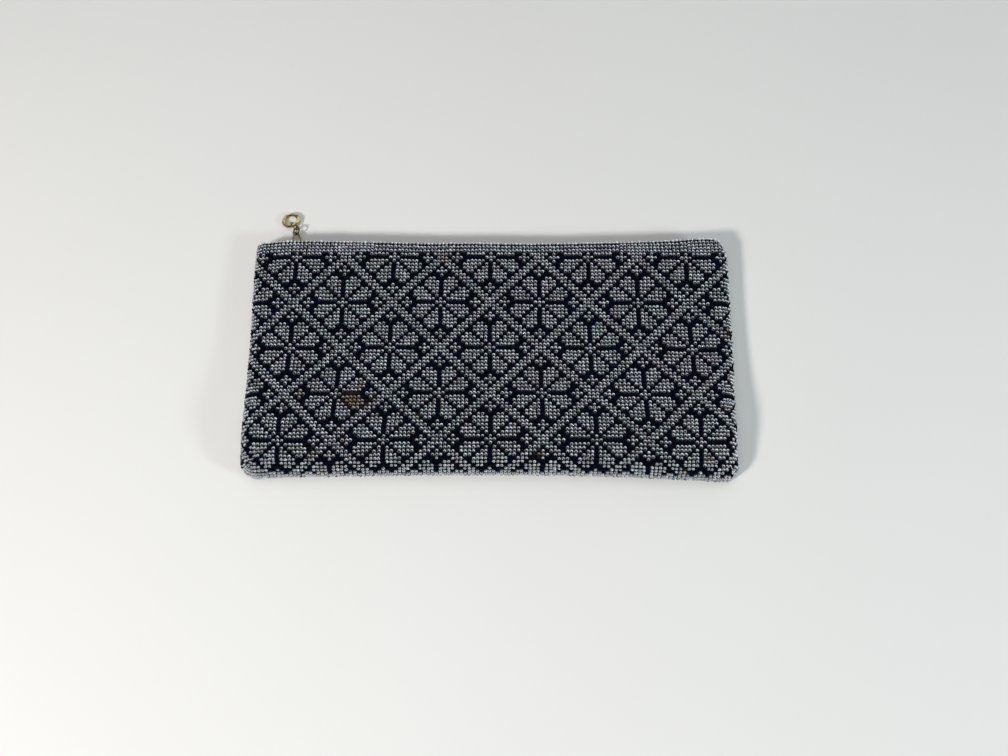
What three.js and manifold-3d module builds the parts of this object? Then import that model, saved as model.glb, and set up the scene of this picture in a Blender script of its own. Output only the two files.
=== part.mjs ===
// Flat beaded clutch, closed by a zip along its mouth, lying on its back with the front face up.
// Millimetres. X runs along the zip, Y from the bottom fold to the mouth, Z up from the resting face.
import * as THREE from "three";
import { mergeVertices } from "three/addons/utils/BufferGeometryUtils.js";
import Module from "manifold-3d";

// Wall of the bag: beads on their cloth
const WALL = 2.0;
const RIM_R = WALL / 2;
const CORNER_R = { left: 8.5, right: 5.5 };
const HALF_WIDTH = 112;
const EDGE_R = 6;

// Steps of the wall's grid: round a fold, over the flats and round the mouth's edge
const GRID = { turns: 6, across: 10, crowd: 1.5, along: 14, rim: 5 };

// Sections from the bottom to the mouth: thickness of the bag, reach of the left and right side folds
const SECTIONS = [
  { y: -64, thick: 17.4, left: 107.8, right: 107.5 },
  { y: -48, thick: 16.8, left: 108.1, right: 107.7 },
  { y: -35, thick: 15.0, left: 108.5, right: 108.3 },
  { y: -20, thick: 12.6, left: 109.0, right: 109.2 },
  { y: -5, thick: 11.1, left: 109.6, right: 110.4 },
  { y: 10, thick: 10.5, left: 110.2, right: 111.1 },
  { y: 25, thick: 10.6, left: 111.1, right: 111.6 },
  { y: 40, thick: 11.2, left: 111.8, right: 112.1 },
  { y: 50, thick: 11.2, left: 112.1, right: 112.4 },
  { y: 58, thick: 10.8, left: 112.1, right: 112.3 },
];

// Stations along the zip: where the mouth's edge and the bottom fold lie
const STATIONS = [
  { x: -112, mouth: 54.5, bottom: -60.8 },
  { x: -108, mouth: 54.8, bottom: -60.7 },
  { x: -90, mouth: 54.9, bottom: -60.3 },
  { x: -60, mouth: 54.3, bottom: -59.8 },
  { x: -30, mouth: 53.9, bottom: -59.3 },
  { x: 0, mouth: 53.6, bottom: -59.1 },
  { x: 30, mouth: 53.6, bottom: -59.2 },
  { x: 60, mouth: 54.2, bottom: -59.8 },
  { x: 80, mouth: 55.1, bottom: -60.7 },
  { x: 96, mouth: 56.2, bottom: -61.2 },
  { x: 104, mouth: 56.4, bottom: -61.2 },
  { x: 107.5, mouth: 56.0, bottom: -61.1 },
  { x: 110, mouth: 52.6, bottom: -61.0 },
  { x: 112.3, mouth: 47.5, bottom: -60.9 },
];

// The left end of the mouth lies flatter than the rest
const LEFT_END = { from: -92, to: -112, low: 15, high: 52, drop: 2.4 };

// The bottom corners are pinched thinner than the middle of the bag
const PINCH = { from: 86, to: 112, high: -36, low: -62, drop: 8 };

// Zip: chain behind the mouth's edge, teeth on cords, tapes along the wall
const ZIP = { left: -103, right: 102, behind: 3.0, steps: 41 };
const TAPE = { thick: 0.8, gap: 0.45, lip: 2.25, deep: 12 };
const TEETH = { from: -91.2, to: 99, pitch: 2.6, width: 0.9, tip: -0.5, deep: 1.5 };
const CORD = { near: 1.35, far: 1.95 };

// Slider, its bridge and the pull that hangs from it
const SLIDER = { x: -92.2, long: 8, plate: 0.8, topHalf: 2.4, lowHalf: 1.9, gap: 2.4, below: 1.0 };
const PLATE = { narrow: 0.86, snub: 1.0, chamfer: 0.6 };
const POST = { long: 2.2, wide: 1.4, ahead: 2.3 };
const BRIDGE = { long: 4.8, hole: 3.2, rise: 2.1, clear: 1.4, wide: 0.8, inner: 0.5, outer: 0.9 };
const SUNK = 0.4;
const BAIL = { wireR: 0.45, base: 5.4, tip: 2.6, corner: 0.9, steps: 4, sides: 8 };
const BAIL_APEX = [-94.44, 63.17, 2.28];
const LINK = { wireR: 0.38, gap: 0.15, nearR: 1.98, farR: 2.11, steps: 20, sides: 8 };
const LINK_TILT = { near: 35.5, far: -57.3 };
const NEAR_WAY = [0, 1, 0.03];
const FAR_WAY = [-0.637, 1, -0.054];
const RING = { wireR: 0.8, midR: 3.58, lift: 0.03, steps: 32, sides: 10 };

const BEADS = new THREE.MeshStandardMaterial({ color: 0x5a5d66, roughness: 0.45, metalness: 0.1 });
const NAVY_TAPE = new THREE.MeshStandardMaterial({ color: 0x141a2c, roughness: 0.9, metalness: 0 });
const BRASS = new THREE.MeshStandardMaterial({ color: 0xb08d3c, roughness: 0.3, metalness: 1 });

// Smooth curve through a table's column, with slopes taken from its neighbours
function curve(table, at, column, v) {
  const n = table.length;
  const s = Math.min(Math.max(v, table[0][at]), table[n - 1][at]);
  let i = 0;
  while (i < n - 2 && s > table[i + 1][at]) i += 1;
  const slope = (k) => {
    const a = table[Math.max(k - 1, 0)];
    const b = table[Math.min(k + 1, n - 1)];
    return (b[column] - a[column]) / (b[at] - a[at]);
  };
  const h = table[i + 1][at] - table[i][at];
  const t = (s - table[i][at]) / h;
  const u = 1 - t;
  return (1 + 2 * t) * u * u * table[i][column] + t * u * u * h * slope(i)
    + t * t * (3 - 2 * t) * table[i + 1][column] - t * t * u * h * slope(i + 1);
}

function ease(from, to, v) {
  const t = Math.min(Math.max((v - from) / (to - from), 0), 1);
  return t * t * (3 - 2 * t);
}

const mouthAt = (x) => curve(STATIONS, "x", "mouth", x);
const bottomAt = (x) => curve(STATIONS, "x", "bottom", x);

function thickAt(x, y) {
  const flat = ease(LEFT_END.from, LEFT_END.to, x) * ease(LEFT_END.low, LEFT_END.high, y);
  const corner = ease(PINCH.from, PINCH.to, Math.abs(x)) * ease(PINCH.high, PINCH.low, y);
  return curve(SECTIONS, "y", "thick", y) - LEFT_END.drop * flat - PINCH.drop * corner;
}

// Point of the wall at a depth under its outer face: angles turn round the folds, runs cross the flats
function wallPoint(across, along, depth, back) {
  const side = across.side;
  const inward = EDGE_R * (1 - Math.cos(across.angle)) + (HALF_WIDTH - EDGE_R) * across.run;
  const xNear = side * (HALF_WIDTH - inward);
  const bottom = bottomAt(xNear);
  const foldR = thickAt(xNear, bottom) / 2;
  const flatY = mouthAt(xNear) - RIM_R - bottom - foldR;
  let insetY = foldR * (1 - Math.cos(along.angle)) + along.run * flatY;
  const reach = curve(SECTIONS, "y", side < 0 ? "left" : "right", bottom + insetY);
  const sideR = thickAt(side * reach, bottom + insetY) / 2;
  let insetX = sideR * (1 - Math.cos(across.angle)) + across.run * (reach - sideR);
  insetX += depth * Math.cos(across.angle);
  insetY += depth * Math.cos(along.angle);
  const round = side < 0 ? CORNER_R.left : CORNER_R.right;
  const cornerX = round - insetX;
  const cornerY = round - insetY;
  if (cornerX > 0 && cornerY > 0) {
    const pull = Math.max(cornerX, cornerY) / Math.hypot(cornerX, cornerY);
    insetX = round - cornerX * pull;
    insetY = round - cornerY * pull;
  }
  const x = side * (reach - insetX);
  const y = bottom + insetY;
  const half = thickAt(x, y) / 2;
  const rise = Math.min(Math.sin(across.angle), Math.sin(along.angle));
  return new THREE.Vector3(x, y, half + (back ? -1 : 1) * (half - depth) * rise);
}

// Places along one half of the wall: round the fold, then over the flat, closer together near the fold
function places(turns, runs, power, side) {
  const list = [];
  for (let k = 0; k < turns; k += 1) list.push({ side, angle: (k / turns) * Math.PI / 2, run: 0 });
  for (let k = 0; k <= runs; k += 1) list.push({ side, angle: Math.PI / 2, run: (k / runs) ** power });
  return list;
}

// Joins a grid of points into triangles
function addGrid(tris, grid) {
  for (let r = 0; r + 1 < grid.length; r += 1) {
    for (let c = 0; c + 1 < grid[r].length; c += 1) {
      tris.push(grid[r][c], grid[r][c + 1], grid[r + 1][c + 1]);
      tris.push(grid[r][c], grid[r + 1][c + 1], grid[r + 1][c]);
    }
  }
}

// Closed solid from triangles, its faces turned outwards
function solidOf(tris) {
  let volume = 0;
  for (let k = 0; k < tris.length; k += 3) volume += tris[k].dot(tris[k + 1].clone().cross(tris[k + 2]));
  const flat = [];
  for (let k = 0; k < tris.length; k += 3) {
    const face = volume > 0 ? [tris[k], tris[k + 1], tris[k + 2]] : [tris[k], tris[k + 2], tris[k + 1]];
    for (const v of face) flat.push(v.x, v.y, v.z);
  }
  const geometry = new THREE.BufferGeometry();
  geometry.setAttribute("position", new THREE.Float32BufferAttribute(flat, 3));
  const merged = mergeVertices(geometry, 1e-4);
  merged.computeVertexNormals();
  return merged;
}

// Hollow wall: outer face, turned edge at the mouth and inner face, front and back
function shellGeometry() {
  const left = places(GRID.turns, GRID.across, GRID.crowd, -1);
  const right = places(GRID.turns, GRID.across, GRID.crowd, 1);
  const across = [...left, ...right.slice(0, -1).reverse()];
  const along = places(GRID.turns, GRID.along, 1, 1);
  const tris = [];
  for (const back of [false, true]) {
    const rows = [];
    for (const row of along) rows.push(across.map((place) => wallPoint(place, row, 0, back)));
    const inner = along.map((row) => across.map((place) => wallPoint(place, row, WALL, back)));
    const outerEdge = rows[rows.length - 1];
    const innerEdge = inner[inner.length - 1];
    for (let k = 1; k < GRID.rim; k += 1) {
      const turn = (k / GRID.rim) * Math.PI;
      rows.push(outerEdge.map((outer, c) => {
        const middle = outer.clone().add(innerEdge[c]).multiplyScalar(0.5);
        const half = outer.clone().sub(middle).multiplyScalar(Math.cos(turn));
        const edge = middle.add(half);
        edge.y += RIM_R * Math.sin(turn);
        return edge;
      }));
    }
    for (let k = inner.length - 1; k >= 0; k -= 1) rows.push(inner[k]);
    addGrid(tris, back ? rows.map((row) => [...row].reverse()) : rows);
  }
  return solidOf(tris);
}

const chainY = (x) => mouthAt(x) - ZIP.behind;
const chainZ = (x) => thickAt(x, mouthAt(x)) / 2;

// Tape: a strip along the wall's inside with a lip towards the teeth, as an L carried along the zip
function tapeGeometry(up) {
  const loops = [];
  for (let k = 0; k < ZIP.steps; k += 1) {
    const x = ZIP.left + (ZIP.right - ZIP.left) * (k / (ZIP.steps - 1));
    const y = chainY(x);
    const deep = mouthAt(x) - TAPE.deep;
    const mid = chainZ(x);
    const face = (at) => {
      const wall = up > 0 ? thickAt(x, at) - WALL : WALL;
      return wall - up * TAPE.gap;
    };
    loops.push([
      [y + TAPE.thick / 2, mid + up * TAPE.lip],
      [y + TAPE.thick / 2, face(y)],
      [deep, face(deep)],
      [deep, face(deep) - up * TAPE.thick],
      [y - TAPE.thick / 2, face(y) - up * TAPE.thick],
      [y - TAPE.thick / 2, mid + up * TAPE.lip],
    ].map(([py, pz]) => new THREE.Vector3(x, py, pz)));
  }
  const tris = [];
  addGrid(tris, loops.map((loop) => [...loop, loop[0]]));
  for (const [loop, ahead] of [[loops[0], false], [loops[loops.length - 1], true]]) {
    const faces = [[0, 1, 4], [0, 4, 5], [1, 2, 3], [1, 3, 4]];
    for (const [a, b, c] of faces) tris.push(loop[a], loop[ahead ? b : c], loop[ahead ? c : b]);
  }
  return solidOf(tris);
}

// Row of teeth on its cord: a comb cut flat, then laid along the zip's gentle curve
function teethGeometry(up) {
  const shape = new THREE.Shape();
  const first = TEETH.from + (up > 0 ? 0 : TEETH.pitch / 2);
  const count = Math.floor((TEETH.to - first) / TEETH.pitch);
  shape.moveTo(first, up * CORD.far);
  for (let k = 0; k <= count; k += 1) {
    const x = first + k * TEETH.pitch;
    shape.lineTo(x, up * TEETH.tip);
    shape.lineTo(x + TEETH.width, up * TEETH.tip);
    shape.lineTo(x + TEETH.width, up * CORD.near);
    if (k < count) shape.lineTo(x + TEETH.pitch, up * CORD.near);
  }
  for (let k = count; k >= 0; k -= 1) shape.lineTo(first + k * TEETH.pitch + TEETH.width, up * CORD.far);
  shape.closePath();
  const comb = new THREE.ExtrudeGeometry(shape, { depth: TEETH.deep, bevelEnabled: false, steps: 1 });
  comb.deleteAttribute("normal");
  comb.deleteAttribute("uv");
  const merged = mergeVertices(comb, 1e-4);
  const p = merged.attributes.position;
  for (let k = 0; k < p.count; k += 1) {
    const x = p.getX(k);
    p.setXYZ(k, x, chainY(x) + TEETH.deep / 2 - p.getZ(k), chainZ(x) + p.getY(k));
  }
  merged.computeVertexNormals();
  return merged;
}

const wasm = await Module();
wasm.setup();

function manifoldOf(geometry) {
  const bare = geometry.clone();
  bare.deleteAttribute("normal");
  bare.deleteAttribute("uv");
  const merged = mergeVertices(bare, 1e-5);
  return new wasm.Manifold(new wasm.Mesh({
    numProp: 3,
    vertProperties: new Float32Array(merged.attributes.position.array),
    triVerts: new Uint32Array(merged.index.array),
  }));
}

function geometryOf(manifold) {
  const mesh = manifold.getMesh();
  const geometry = new THREE.BufferGeometry();
  geometry.setAttribute("position", new THREE.BufferAttribute(new Float32Array(mesh.vertProperties), 3));
  geometry.setIndex(new THREE.BufferAttribute(new Uint32Array(mesh.triVerts), 1));
  geometry.computeVertexNormals();
  return geometry;
}

// Slider: two plates held apart by a post at the closed end, and a bridge on the outer plate
function sliderGeometry() {
  const top = mouthAt(SLIDER.x) - SLIDER.below;
  const z = chainZ(SLIDER.x);
  const plate = (wideHalf) => {
    const end = SLIDER.long / 2;
    const slimHalf = wideHalf * PLATE.narrow;
    const shape = new THREE.Shape();
    shape.moveTo(-end + PLATE.snub, -wideHalf);
    shape.lineTo(end - PLATE.chamfer, -slimHalf);
    shape.lineTo(end, -slimHalf + PLATE.chamfer);
    shape.lineTo(end, slimHalf - PLATE.chamfer);
    shape.lineTo(end - PLATE.chamfer, slimHalf);
    shape.lineTo(-end + PLATE.snub, wideHalf);
    shape.lineTo(-end, wideHalf - PLATE.snub);
    shape.lineTo(-end, -wideHalf + PLATE.snub);
    shape.closePath();
    const geometry = new THREE.ExtrudeGeometry(shape, { depth: SLIDER.plate, bevelEnabled: false });
    geometry.rotateX(Math.PI / 2);
    return geometry;
  };
  const outer = plate(SLIDER.topHalf);
  outer.translate(SLIDER.x, top, z);
  const inner = plate(SLIDER.lowHalf);
  inner.translate(SLIDER.x, top - SLIDER.plate - SLIDER.gap, z);
  const post = new THREE.BoxGeometry(POST.long, SLIDER.gap + 2 * SUNK, POST.wide);
  post.translate(SLIDER.x - POST.ahead, top - SLIDER.plate - SLIDER.gap / 2, z);
  const archHalf = BRIDGE.long / 2;
  const holeHalf = BRIDGE.hole / 2;
  const arch = new THREE.Shape();
  arch.moveTo(-archHalf, -SUNK);
  arch.lineTo(-holeHalf, -SUNK);
  arch.lineTo(-holeHalf, BRIDGE.clear - BRIDGE.inner);
  arch.lineTo(-holeHalf + BRIDGE.inner, BRIDGE.clear);
  arch.lineTo(holeHalf - BRIDGE.inner, BRIDGE.clear);
  arch.lineTo(holeHalf, BRIDGE.clear - BRIDGE.inner);
  arch.lineTo(holeHalf, -SUNK);
  arch.lineTo(archHalf, -SUNK);
  arch.lineTo(archHalf, BRIDGE.rise - BRIDGE.outer);
  arch.lineTo(archHalf - BRIDGE.outer, BRIDGE.rise);
  arch.lineTo(-archHalf + BRIDGE.outer, BRIDGE.rise);
  arch.lineTo(-archHalf, BRIDGE.rise - BRIDGE.outer);
  arch.closePath();
  const bridge = new THREE.ExtrudeGeometry(arch, { depth: BRIDGE.wide, bevelEnabled: false });
  bridge.translate(SLIDER.x, top, z - BRIDGE.wide / 2);
  let body = manifoldOf(outer);
  for (const piece of [inner, post, bridge]) body = body.add(manifoldOf(piece));
  return geometryOf(body);
}

// Round wire closed on itself: a circle of sides carried round a closed line of points
function wireGeometry(points, wireR, sides, up) {
  const loops = points.map((p, k) => {
    const next = points[(k + 1) % points.length];
    const last = points[(k + points.length - 1) % points.length];
    const ahead = next.clone().sub(last).normalize();
    const side = ahead.clone().cross(up).normalize();
    const loop = [];
    for (let s = 0; s <= sides; s += 1) {
      const a = ((s % sides) / sides) * 2 * Math.PI;
      const out = p.clone().addScaledVector(side, wireR * Math.cos(a));
      loop.push(out.addScaledVector(up, wireR * Math.sin(a)));
    }
    return loop;
  });
  const tris = [];
  addGrid(tris, [...loops, loops[0]]);
  return solidOf(tris);
}

// Direction square to a way, turned up from the level by a tilt in degrees
function tilted(way, degrees) {
  const a = (degrees * Math.PI) / 180;
  const level = new THREE.Vector3(way.y, -way.x, 0).normalize();
  const rise = level.clone().cross(way).normalize();
  return level.multiplyScalar(Math.cos(a)).addScaledVector(rise, Math.sin(a));
}

// Flat round link or ring: its middle line in the plane of two directions
function ringPoints(centre, way, across, midR, count) {
  const points = [];
  for (let k = 0; k < count; k += 1) {
    const a = (k / count) * 2 * Math.PI;
    const along = centre.clone().addScaledVector(way, midR * Math.cos(a));
    points.push(along.addScaledVector(across, midR * Math.sin(a)));
  }
  return points;
}

// Bail: a tapering loop of wire with round corners, its bar level under the bridge, its tip in the first link
function bailGeometry() {
  const baseY = mouthAt(SLIDER.x) - SLIDER.below + BRIDGE.clear / 2;
  const base = new THREE.Vector3(SLIDER.x, baseY, chainZ(SLIDER.x));
  const apex = new THREE.Vector3(...BAIL_APEX);
  const way = apex.clone().sub(base);
  const long = way.length();
  way.normalize();
  const wide = new THREE.Vector3(-way.z, 0, way.x).normalize();
  const points = [];
  const at = (along, off) => {
    points.push(base.clone().addScaledVector(way, along).addScaledVector(wide, off));
  };
  const half = BAIL.base / 2;
  const tip = BAIL.tip / 2;
  const corner = (s, k) => {
    const a = (k / BAIL.steps) * Math.PI / 2;
    at(BAIL.corner * (1 - Math.cos(a)), s * (half - BAIL.corner * (1 - Math.sin(a))));
  };
  const leg = (s, k) => {
    const t = k / BAIL.steps;
    at(BAIL.corner + (long - tip - BAIL.corner) * t, s * (half + (tip - half) * t));
  };
  for (let k = 0; k <= BAIL.steps; k += 1) corner(1, k);
  for (let k = 1; k < BAIL.steps; k += 1) leg(1, k);
  for (let k = 0; k <= 2 * BAIL.steps; k += 1) {
    const a = (k / BAIL.steps) * Math.PI / 2;
    at(long - tip + tip * Math.sin(a), tip * Math.cos(a));
  }
  for (let k = BAIL.steps - 1; k >= 1; k -= 1) leg(-1, k);
  for (let k = BAIL.steps; k >= 0; k -= 1) corner(-1, k);
  return wireGeometry(points, BAIL.wireR, BAIL.sides, way.clone().cross(wide).normalize());
}

const nearWay = new THREE.Vector3(...NEAR_WAY).normalize();
const farWay = new THREE.Vector3(...FAR_WAY).normalize();
const apex = new THREE.Vector3(...BAIL_APEX);

// The near link holds the bail's tip, the far link joins it to the ring
const nearStart = apex.clone().addScaledVector(nearWay, -(BAIL.wireR + LINK.wireR + LINK.gap));
const nearCentre = nearStart.clone().addScaledVector(nearWay, LINK.nearR);
const nearEnd = nearStart.clone().addScaledVector(nearWay, 2 * LINK.nearR);
const farStart = nearEnd.clone().addScaledVector(nearWay, -(2 * LINK.wireR + LINK.gap));
const farCentre = farStart.clone().addScaledVector(farWay, LINK.farR);
const farEnd = farStart.clone().addScaledVector(farWay, 2 * LINK.farR);
const ringStart = farEnd.clone().addScaledVector(farWay, -(LINK.wireR + RING.wireR + LINK.gap));

function linkGeometry(centre, way, tilt, midR) {
  const wide = tilted(way, tilt);
  const points = ringPoints(centre, way, wide, midR, LINK.steps);
  return wireGeometry(points, LINK.wireR, LINK.sides, way.clone().cross(wide).normalize());
}

// The ring leans on the far link and touches down at its other side
function ringGeometry() {
  const fall = Math.asin((ringStart.z - RING.wireR - RING.lift) / (2 * RING.midR));
  const way = new THREE.Vector3(farWay.x, farWay.y, 0).setLength(Math.cos(fall));
  way.z = -Math.sin(fall);
  const wide = tilted(farWay, 0);
  const centre = ringStart.clone().addScaledVector(way, RING.midR);
  const points = ringPoints(centre, way, wide, RING.midR, RING.steps);
  return wireGeometry(points, RING.wireR, RING.sides, way.clone().cross(wide).normalize());
}

const group = new THREE.Group();
function add(name, geometry, material) {
  const mesh = new THREE.Mesh(geometry, material);
  mesh.name = name;
  group.add(mesh);
}

add("beaded_shell", shellGeometry(), BEADS);
add("zip_tape_front", tapeGeometry(1), NAVY_TAPE);
add("zip_tape_back", tapeGeometry(-1), NAVY_TAPE);
add("zip_teeth_front", teethGeometry(1), BRASS);
add("zip_teeth_back", teethGeometry(-1), BRASS);
add("zip_slider", sliderGeometry(), BRASS);
add("pull_bail", bailGeometry(), BRASS);
add("link_ring_near", linkGeometry(nearCentre, nearWay, LINK_TILT.near, LINK.nearR), BRASS);
add("link_ring_far", linkGeometry(farCentre, farWay, LINK_TILT.far, LINK.farR), BRASS);
add("pull_ring", ringGeometry(), BRASS);

export default group;
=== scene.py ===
import bmesh
import bpy
import numpy as np
from mathutils import Matrix


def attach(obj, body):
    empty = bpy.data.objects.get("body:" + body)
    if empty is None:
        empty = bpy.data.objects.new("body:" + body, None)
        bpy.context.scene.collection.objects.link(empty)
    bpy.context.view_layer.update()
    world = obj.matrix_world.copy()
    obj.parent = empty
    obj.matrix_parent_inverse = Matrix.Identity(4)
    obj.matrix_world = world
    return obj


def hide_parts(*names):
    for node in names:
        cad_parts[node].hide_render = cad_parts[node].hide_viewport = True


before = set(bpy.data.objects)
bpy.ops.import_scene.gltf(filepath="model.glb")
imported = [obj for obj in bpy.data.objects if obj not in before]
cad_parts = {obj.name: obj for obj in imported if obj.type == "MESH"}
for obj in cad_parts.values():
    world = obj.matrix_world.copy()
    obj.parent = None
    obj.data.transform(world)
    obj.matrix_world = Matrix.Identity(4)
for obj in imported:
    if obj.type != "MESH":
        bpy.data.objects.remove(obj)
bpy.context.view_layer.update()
dice = np.random.default_rng(1926)  # one seed, so every run strews the same beads
rightAngle = np.pi / 2
millimetre = 0.001
tiny = 1e-9  # metres: keeps a point on its own side, or a division from zero
weldNear = 1e-6  # metres: points nearer than this are one


# Scene helpers
def addObject(name, data):
    thing = bpy.data.objects.new(name, data)
    bpy.context.scene.collection.objects.link(thing)
    return thing


def lookAt(aim, azimuth, elevation, distance, roll=0.0):
    # Matrix of an object that looks at the aim from an azimuth from +X and an elevation, in degrees:
    # back points away from the aim, right is level and up is square to both, then these two roll about back
    turn, rise, roll = np.radians([azimuth, elevation, roll])
    back = np.array([np.cos(turn) * np.cos(rise), np.sin(turn) * np.cos(rise), np.sin(rise)])
    level = np.array([-np.sin(turn), np.cos(turn), 0.0])
    upright = np.cross(back, level)
    right = np.cos(roll) * level + np.sin(roll) * upright
    up = np.cos(roll) * upright - np.sin(roll) * level
    matrix = np.eye(4)
    matrix[:3] = np.stack([right, up, back, np.array(aim) + distance * back], -1)
    return Matrix(matrix.tolist())


# Camera
cameraSet = {
    "frameWide": 1008,  # pixels of the photograph's frame
    "frameHigh": 756,
    "focalPixels": 950,
    "axisPixel": (497, 342),  # where the lens axis meets the frame
    "aim": (0.00311, 0.00241, 0.010),
    "distance": 0.4291,
    "azimuth": 270.325,
    "elevation": 66.47,
    "roll": -0.163,
    "sensor": 36.0,
    "clip": (0.01, 20.0),
}


def makeCamera(view):
    lens = bpy.data.cameras.new("photoCamera")
    lens.sensor_width = view["sensor"]
    lens.lens = view["sensor"] * view["focalPixels"] / view["frameWide"]
    lens.shift_x = (view["frameWide"] / 2 - view["axisPixel"][0]) / view["frameWide"]
    lens.shift_y = (view["axisPixel"][1] - view["frameHigh"] / 2) / view["frameWide"]
    lens.clip_start, lens.clip_end = view["clip"]
    camera = addObject("photoCamera", lens)
    camera.matrix_world = lookAt(
        view["aim"], view["azimuth"], view["elevation"], view["distance"], view["roll"],
    )
    bpy.context.scene.camera = camera


makeCamera(cameraSet)
print("camera placed")


# Mesh helpers
def fullTurn(count):
    return np.linspace(0, 2 * np.pi, count, endpoint=False)


def unit(vectors, shortest=1e-12):
    return vectors / np.maximum(np.linalg.norm(vectors, axis=-1, keepdims=True), shortest)


def gridFaces(rows, columns, wrapRows=False, wrapColumns=False):
    # Quads between neighbours in a grid of points, row by row
    lastRows, lastColumns = rows - (not wrapRows), columns - (not wrapColumns)
    row, column = np.meshgrid(np.arange(lastRows), np.arange(lastColumns), indexing="ij")
    nextRow, nextColumn = (row + 1) % rows, (column + 1) % columns
    quads = [
        row * columns + column,
        row * columns + nextColumn,
        nextRow * columns + nextColumn,
        nextRow * columns + column,
    ]
    return np.stack(quads, -1).reshape(-1, 4)


def repeatFaces(faces, count, size):
    # The same faces on every copy of a shape with so many points
    return (np.arange(count)[:, None, None] * size + faces).reshape(-1, faces.shape[1])


def meshFrom(name, points, faces):
    # Vertices and faces of equal size, straight from arrays
    mesh = bpy.data.meshes.new(name)
    count, corners = faces.shape
    mesh.vertices.add(len(points))
    mesh.vertices.foreach_set("co", np.asarray(points, np.float32).ravel())
    mesh.loops.add(count * corners)
    mesh.loops.foreach_set("vertex_index", np.asarray(faces, np.int32).ravel())
    mesh.polygons.add(count)
    mesh.polygons.foreach_set("loop_start", np.arange(0, count * corners, corners, dtype=np.int32))
    mesh.polygons.foreach_set("use_smooth", np.ones(count, bool))
    mesh.update(calc_edges=True)
    mesh.validate()
    return mesh


def setMap(mesh, name, spots):
    # Per-point map places, handed to each face corner
    corners = np.empty(len(mesh.loops), np.int32)
    mesh.loops.foreach_get("vertex_index", corners)
    mesh.uv_layers.new(name=name).data.foreach_set("uv", spots[corners].astype(np.float32).ravel())


def closeSeams(mesh, openSides=0):
    # Merges doubled points, fills open ends that have so many sides, and turns every face outwards
    work = bmesh.new()
    work.from_mesh(mesh)
    bmesh.ops.remove_doubles(work, verts=work.verts, dist=weldNear)
    if openSides:
        rims = [edge for edge in work.edges if edge.is_boundary]
        bmesh.ops.holes_fill(work, edges=rims, sides=openSides)
    bmesh.ops.recalc_face_normals(work, faces=work.faces)
    work.to_mesh(mesh)
    work.free()


def addPiece(name, mesh, material, node):
    piece = addObject(name, mesh)
    mesh.materials.append(material)
    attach(piece, "root")
    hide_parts(node)


# Material helpers
def feed(tree, node, values):
    # Each input, by name or number, gets a link from a socket or a plain value
    for label, value in values.items():
        if isinstance(value, bpy.types.NodeSocket):
            tree.links.new(value, node.inputs[label])
        else:
            node.inputs[label].default_value = value


def addNode(tree, kind, values=None, **settings):
    node = tree.nodes.new(kind)
    for key, value in settings.items():
        setattr(node, key, value)
    feed(tree, node, values or {})
    return node


def newMaterial(name):
    material = bpy.data.materials.new(name)
    material.use_nodes = True
    return material, material.node_tree, material.node_tree.nodes["Principled BSDF"]


def newGroup(name, inputs, outputs):
    # Node group with named sockets; the kinds are Float, Color and Vector
    tree = bpy.data.node_groups.new(name, "ShaderNodeTree")
    for way, sockets in (("INPUT", inputs), ("OUTPUT", outputs)):
        for label, kind in sockets:
            tree.interface.new_socket(label, in_out=way, socket_type="NodeSocket" + kind)
    return tree, tree.nodes.new("NodeGroupInput").outputs, tree.nodes.new("NodeGroupOutput")


def placeGroup(tree, group, look):
    # Every input of the group takes the look's entry of the same name
    node = addNode(tree, "ShaderNodeGroup", node_tree=group)
    feed(tree, node, {socket.name: look[socket.name.lower()] for socket in node.inputs})
    return node.outputs


def mixColour(tree, share, first, second, blend="MIX"):
    shareAt, firstAt, secondAt, mixedAt = 0, 6, 7, 2  # the Mix node's colour sockets, by number
    values = {shareAt: share, firstAt: first, secondAt: second}
    node = addNode(tree, "ShaderNodeMix", values, data_type="RGBA", blend_type=blend, clamp_factor=True)
    return node.outputs[mixedAt]


def mathNode(tree, operation, *values):
    return addNode(tree, "ShaderNodeMath", dict(enumerate(values)), operation=operation).outputs[0]


def softStep(tree, value, start, end):
    # 0 at the start and 1 at the end, smooth between them
    values = {"Value": value, "From Min": start, "From Max": end}
    return addNode(tree, "ShaderNodeMapRange", values, interpolation_type="SMOOTHSTEP").outputs["Result"]


def bumpNormal(tree, height, strength, distance):
    values = {"Height": height, "Strength": strength, "Distance": distance}
    return addNode(tree, "ShaderNodeBump", values).outputs["Normal"]


# Shape of the bag, lying on its back, as the part's own sections and stations
def inMetres(columns, rows):
    # A table in millimetres as an array of metres for each column
    return dict(zip(columns, np.array(rows).T * millimetre))


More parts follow.
